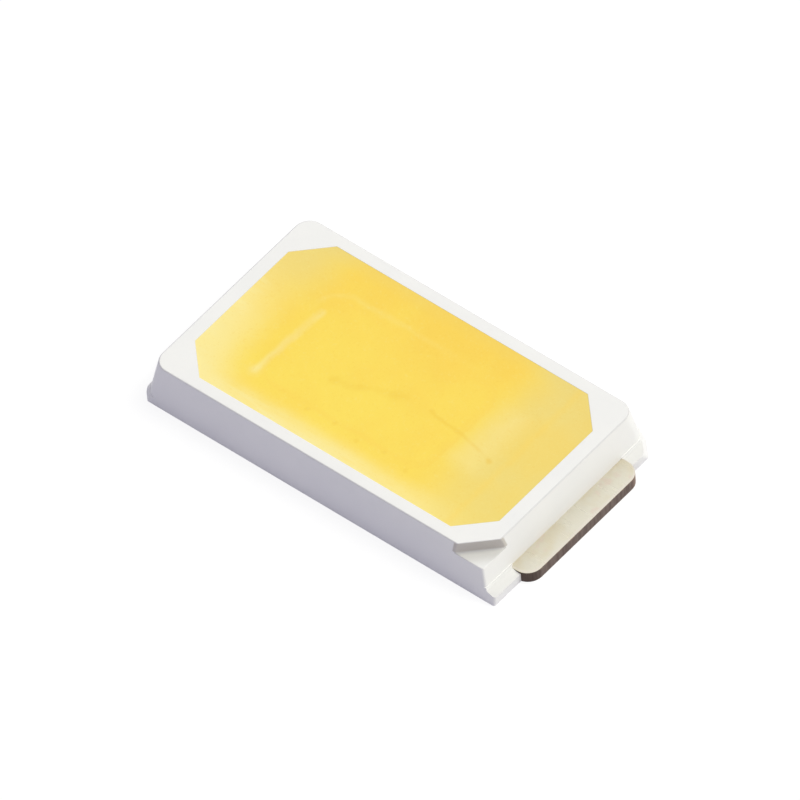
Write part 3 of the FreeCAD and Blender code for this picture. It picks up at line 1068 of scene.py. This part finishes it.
def stroke(tree, flat, points, width):
    """1 along a line through the points, fading to 0 at the given width."""
    nearest = None
    for (x0, y0), (x1, y1) in zip(points, points[1:]):
        run = Vector((x1 - x0, y1 - y0, 0))
        away = vectors(tree, "SUBTRACT", flat, (x0, y0, 0))
        along = vectors(tree, "DOT_PRODUCT", away, tuple(run))
        parts = {0: along, 1: 1 / run.length_squared}
        share = node(tree, "ShaderNodeMath", parts, operation="MULTIPLY", use_clamp=True).outputs[0]
        gap = vectors(tree, "LENGTH", vectors(tree, "SUBTRACT", away, scaled(tree, tuple(run), share)))
        nearest = gap if nearest is None else maths(tree, "MINIMUM", nearest, gap)
    return fade(tree, nearest, 0.0, width, 1.0, 0.0)


def spot(tree, flat, centre, size):
    gap = vectors(tree, "LENGTH", vectors(tree, "SUBTRACT", flat, (*centre, 0)))
    return fade(tree, gap, size * 0.2, size, 1.0, 0.0)


# %% [markdown]
# ## Tones of the phosphor
# Over the deep pool the silicone is a full yellow. It turns pale towards the front left rim, where
# the layer thins out over the white slope, and muted at the tab end. The thickness could be
# worked out from the cup's own depth, but a slow change laid over the plan follows what the
# photograph shows. The colours are laid one over the other, as a painter glazes.

# %% Powder, rims and ends
PHOSPHOR = (1.0, 0.765, 0.112)
PHOSPHOR_DEEP = (0.985, 0.690, 0.100)
PHOSPHOR_PALE = (0.995, 0.865, 0.360)
PHOSPHOR_MUTED = (0.875, 0.715, 0.235)
PHOSPHOR_LINE = (0.860, 0.540, 0.035)


def stretched(tree, at, scale):
    return node(tree, "ShaderNodeMapping", {"Vector": at, "Scale": scale}).outputs["Vector"]


def pool_edge(tree, flat):
    return outside_box(tree, flat, POOL_MIDDLE, POOL_HALF, POOL_ROUND)


def to_front_left(tree, flat):
    """Grows towards the front left corner."""
    return vectors(tree, "DOT_PRODUCT", flat, (-0.30, -0.62, 0))


def powder(tree, flat, patches):
    backwards = fade(tree, split(tree, flat)[1], -1.0, 1.3, 0.0, 0.75)
    shade = maths(tree, "ADD", backwards, fade(tree, patches, 0.35, 0.65, -0.2, 0.3))
    return tint(tree, shade, PHOSPHOR, PHOSPHOR_DEEP)


def pale_slopes(tree, at, flat, colour):
    """Thin silicone over the white slopes, strongest at the front left."""
    slant = to_front_left(tree, flat)
    out_of_pool = fade(tree, pool_edge(tree, flat), 0.02, 0.62)
    share = product(tree, out_of_pool, fade(tree, slant, -0.10, 1.10, 0.0, 0.80))
    colour = tint(tree, share, colour, PHOSPHOR_PALE)
    streaks = noise(tree, stretched(tree, at, (3.0, 14.0, 1.0)), 1.0)
    by_rim = fade(tree, past_rim(tree, flat), -0.26, -0.02)
    ragged = fade(tree, streaks, 0.35, 0.65, 0.35, 0.85)
    share = product(tree, by_rim, ragged, fade(tree, slant, 0.05, 0.75))
    return tint(tree, share, colour, PHOSPHOR_PALE)


def muted_ends(tree, flat, patches, colour):
    """Greyer yellow at the tab end, the back left corner and the back rim."""
    x, y = split(tree, flat)[:2]
    tab_end = product(
        tree, fade(tree, x, 0.95, 1.70), fade(tree, to_front_left(tree, flat), 0.75, -0.20),
        fade(tree, patches, 0.3, 0.7, 0.85, 0.55))
    back_left = product(tree, fade(tree, x, -1.35, -2.10), fade(tree, y, 0.0, 1.0), 0.75)
    back_rim = product(tree, fade(tree, y, 1.02, 1.24), fade(tree, patches, 0.3, 0.7, 0.40, 0.15))
    for share in (tab_end, back_left, back_rim):
        colour = tint(tree, share, colour, PHOSPHOR_MUTED)
    return colour


# %% [markdown]
# ## Steps, wires and grain
# The steps of the cup show as a pale edge round the pool with one bright streak at its left, and
# a pale pane over the short lead. The wires show as faint broken lines that end in a knot. Fine
# light and dark grains of the powder lie over all of it. The real clear silicone could be
# rendered with the true wires in it, but powder this dense hides them, so they are traced.

# %% Phosphor
def steps_of_cup(tree, at, flat, patches, colour):
    x, y = split(tree, flat)[:2]
    pool = pool_edge(tree, flat)
    torn = fade(tree, noise(tree, at, 3.0), 0.34, 0.60, 0.55, 1.0)
    front_rim = product(tree, fade(tree, y, -0.88, -1.16), between(tree, x, -1.2, 1.7, 0.5), 0.35)
    pane = fade(tree, outside_box(tree, flat, PANE_MIDDLE, PANE_HALF, PANE_ROUND), 0.16, -0.16, 0.0, 0.38)
    pane = product(tree, pane, fade(tree, patches, 0.35, 0.6, 0.4, 1.0))
    at_left = product(tree, fade(tree, x, -1.15, -1.45), fade(tree, y, 0.25, 0.70, 0.0, 0.24))
    at_back = product(tree, fade(tree, y, 0.45, 0.72), fade(tree, x, 0.9, -1.2, 0.0, 0.20))
    seen = maths(tree, "MAXIMUM", at_left, at_back)
    edge = product(tree, between(tree, pool, -0.005, 0.055, 0.038), seen, torn)
    streak = product(tree, stroke(tree, flat, POOL_STREAK, STREAK_W), torn, 0.58)
    streak_end = product(tree, spot(tree, flat, POOL_STREAK[0], 0.15), 0.25)
    for share in (front_rim, pane, edge, streak, streak_end):
        colour = tint(tree, share, colour, PHOSPHOR_PALE)
    under = product(tree, between(tree, pool, -0.12, -0.05, 0.035), torn, 0.35)
    arc = product(tree, between(tree, pool, -0.05, 0.0, 0.03), fade(tree, x, 0.7, 1.1), 0.40)
    end_line = product(tree, between(tree, x, 1.76, 1.84, 0.04), 0.22)
    for share in (under, arc, end_line):
        colour = tint(tree, share, colour, PHOSPHOR_DEEP)
    return colour


def traces_of_wires(tree, at, flat, colour):
    broken = fade(tree, noise(tree, at, 6.0, 1.0), 0.35, 0.60, 0.25, 1.0)
    shares = [
        product(tree, stroke(tree, flat, FIRST_WIRE, 0.080), broken, 0.15),
        product(tree, stroke(tree, flat, SECOND_WIRE, 0.050), broken, 0.27)]
    shares += [product(tree, spot(tree, flat, centre, size), share) for centre, size, share in WIRE_KNOTS]
    shares += [product(tree, spot(tree, flat, centre, SPECK_R), 0.22) for centre in FRONT_SPECKS]
    for share in shares:
        colour = tint(tree, share, colour, PHOSPHOR_LINE)
    return colour


def phosphor_material():
    material, tree, shader = recipe("phosphor_in_silicone")
    at = place_mm(tree)
    flat = flat_place(tree, at)
    patches = noise(tree, at, 1.1, 3.0)
    colour = powder(tree, flat, patches)
    colour = pale_slopes(tree, at, flat, colour)
    colour = muted_ends(tree, flat, patches, colour)
    colour = steps_of_cup(tree, at, flat, patches, colour)
    colour = traces_of_wires(tree, at, flat, colour)
    grains = noise(tree, at, 34.0)
    colour = tint(tree, fade(tree, grains, 0.58, 0.75, 0.0, 0.16), colour, PHOSPHOR_LINE)
    colour = tint(tree, fade(tree, grains, 0.42, 0.28, 0.0, 0.14), colour, PHOSPHOR_PALE)
    height = maths(tree, "ADD", noise(tree, at, 2.2), product(tree, grains, 0.08))
    wire_up(
        tree, shader, Base_Color=colour, IOR=1.41, Roughness=roughness(tree, patches, 0.36, 0.46),
        Normal=relief(tree, height, 0.010))
    return material


dress(fill_core, phosphor_material())

# %% [markdown]
# ## Silver plate and the sheared copper edge
# The strip is plated before it is punched. So the rolled top of the tab is soft bright silver
# with faint rolling lines, a little tarnished to beige and pink, and painted shade on its rolled
# edge tones down the highlight there. Its cut edge is bare copper, dark and scored upright by the
# punch, with silver dragged over its upper part, painted shade on its front side and painted
# light on its back side. The edge could be a piece of its own, but it is the same strip, so the
# lead has a second finish there.

# %% Silver
SILVER = (0.800, 0.765, 0.640)
SILVER_BEIGE = (0.765, 0.690, 0.510)
SILVER_PINK = (0.790, 0.660, 0.560)
SILVER_ROLL_SHADE = (0.800, 0.740, 0.640)
ROLLING_LINES = (2.5, 46.0, 2.5)


def silver_material():
    material, tree, shader = recipe("silver_plated_strip")
    at = place_mm(tree)
    rolled = noise(tree, stretched(tree, at, ROLLING_LINES), 1.0, 3.0)
    beige = fade(tree, noise(tree, at, 2.6, 3.0), 0.40, 0.68, 0.0, 0.75)
    pink = fade(tree, noise(tree, at, 5.5), 0.55, 0.72, 0.0, 0.6)
    # Painted shade on the rolled edge, by how far it leans, to tone down its highlight.
    painted_roll_shade = between(tree, facing_up(tree), 0.45, 0.93, 0.05)
    colour = tint(tree, beige, SILVER, SILVER_BEIGE)
    colour = tint(tree, pink, colour, SILVER_PINK)
    colour = tint(tree, painted_roll_shade, colour, SILVER_ROLL_SHADE)
    grain = noise(tree, at, 60.0)
    height = maths(tree, "ADD", rolled, product(tree, grain, 0.5))
    wire_up(
        tree, shader, Base_Color=colour, Metallic=1.0, Roughness=roughness(tree, rolled, 0.27, 0.38),
        Normal=relief(tree, height, 0.0010))
    return material


# %% Copper edge
# The darkest copper is painted shade on the front side. The light copper is both the silver dragged over
# the edge and painted light on its back side.
COPPER = (0.165, 0.118, 0.098)
COPPER_SCORED = (0.120, 0.080, 0.066)
COPPER_PAINTED_SHADE = (0.050, 0.028, 0.022)
COPPER_SMEAR_AND_LIT = (0.42, 0.27, 0.19)
SCORES = (30.0, 30.0, 3.0)
SMEAR_Z = (0.120, 0.155)
PAINTED_SHADE_Y = (-0.75, -0.95)
PAINTED_LIGHT_Y = (0.78, 0.96)


def copper_material():
    material, tree, shader = recipe("sheared_copper_edge")
    at = place_mm(tree)
    y, z = split(tree, at)[1:]
    scores = noise(tree, stretched(tree, at, SCORES), 1.0, 3.0)
    colour = tint(tree, fade(tree, scores, 0.35, 0.65), COPPER, COPPER_SCORED)
    dragged = fade(tree, noise(tree, at, 14.0), 0.42, 0.62)
    smear = product(tree, fade(tree, z, *SMEAR_Z), dragged, 0.55)
    colour = tint(tree, smear, colour, COPPER_SMEAR_AND_LIT)
    # Painted shade on the front side of the cut edge and painted light on its back side.
    colour = tint(tree, product(tree, fade(tree, y, *PAINTED_SHADE_Y), 0.75), colour, COPPER_PAINTED_SHADE)
    colour = tint(tree, product(tree, fade(tree, y, *PAINTED_LIGHT_Y), 0.55), colour, COPPER_SMEAR_AND_LIT)
    wire_up(
        tree, shader, Base_Color=colour, Metallic=0.5, Roughness=roughness(tree, scores, 0.52, 0.62),
        Normal=relief(tree, scores, 0.0010))
    return material


silver = silver_material()
copper = copper_material()
dress(short_lead, silver, copper)
dress(long_lead, silver, copper)

# %% [markdown]
# ## Chips, glue, contacts and wires
# These eleven measured pieces lie under the silicone. They could be left plain, but a section or
# a clear view may show them, so they are finished too: scribed sapphire with its raised patterned
# top, cloudy clear glue, gold contacts with the mark of the test probe, and drawn gold wire.

# %% Sapphire, glue and gold
SAPPHIRE = (0.50, 0.58, 0.62)
SAPPHIRE_SIDE = (0.30, 0.38, 0.46)
SAPPHIRE_TOP = (0.34, 0.36, 0.55)
SCRIBED_Z = (0.235, 0.245)
CHIP_TOP_Z = (0.309, 0.312)
GLUE = (0.80, 0.78, 0.72)
GLUE_CLOUD = (0.62, 0.60, 0.55)
GOLD = (0.92, 0.68, 0.30)
GOLD_DEEP = (0.80, 0.52, 0.18)
PROBE_MARKS = (70.0, 70.0, 70.0)
DRAWN_LINES = (12.0, 60.0, 60.0)


def sapphire_material():
    material, tree, shader = recipe("sapphire_chip")
    at = place_mm(tree)
    z = split(tree, at)[2]
    colour = tint(tree, fade(tree, z, *SCRIBED_Z), SAPPHIRE, SAPPHIRE_SIDE)
    colour = tint(tree, fade(tree, z, *CHIP_TOP_Z), colour, SAPPHIRE_TOP)
    dots = noise(tree, at, 90.0, 1.0)
    wire_up(
        tree, shader, Base_Color=colour, Roughness=roughness(tree, dots, 0.10, 0.34), IOR=1.76,
        Normal=relief(tree, dots, 0.0010))
    return material


def glue_material():
    material, tree, shader = recipe("clear_die_glue")
    cloud = noise(tree, place_mm(tree), 12.0, 3.0)
    wire_up(
        tree, shader, Base_Color=tint(tree, cloud, GLUE, GLUE_CLOUD),
        Roughness=roughness(tree, cloud, 0.16, 0.34), Normal=relief(tree, cloud, 0.004))
    return material


def gold_material(name, ripple):
    material, tree, shader = recipe(name)
    drawn = noise(tree, stretched(tree, place_mm(tree), ripple), 1.0)
    wire_up(
        tree, shader, Base_Color=tint(tree, drawn, GOLD, GOLD_DEEP), Metallic=1.0,
        Roughness=roughness(tree, drawn, 0.20, 0.38), Normal=relief(tree, drawn, 0.0015))
    return material


# %% Finishes of the pieces under the silicone
contact_gold = gold_material("contact_gold", PROBE_MARKS)
inner_finishes = {
    "chip": sapphire_material(),
    "die_attach": glue_material(),
    "p_contact": contact_gold,
    "n_contact": contact_gold,
    "wire": gold_material("drawn_gold_wire", DRAWN_LINES),
}
for name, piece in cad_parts.items():
    for start, finish in inner_finishes.items():
        if name.startswith(start):
            dress(piece, finish)
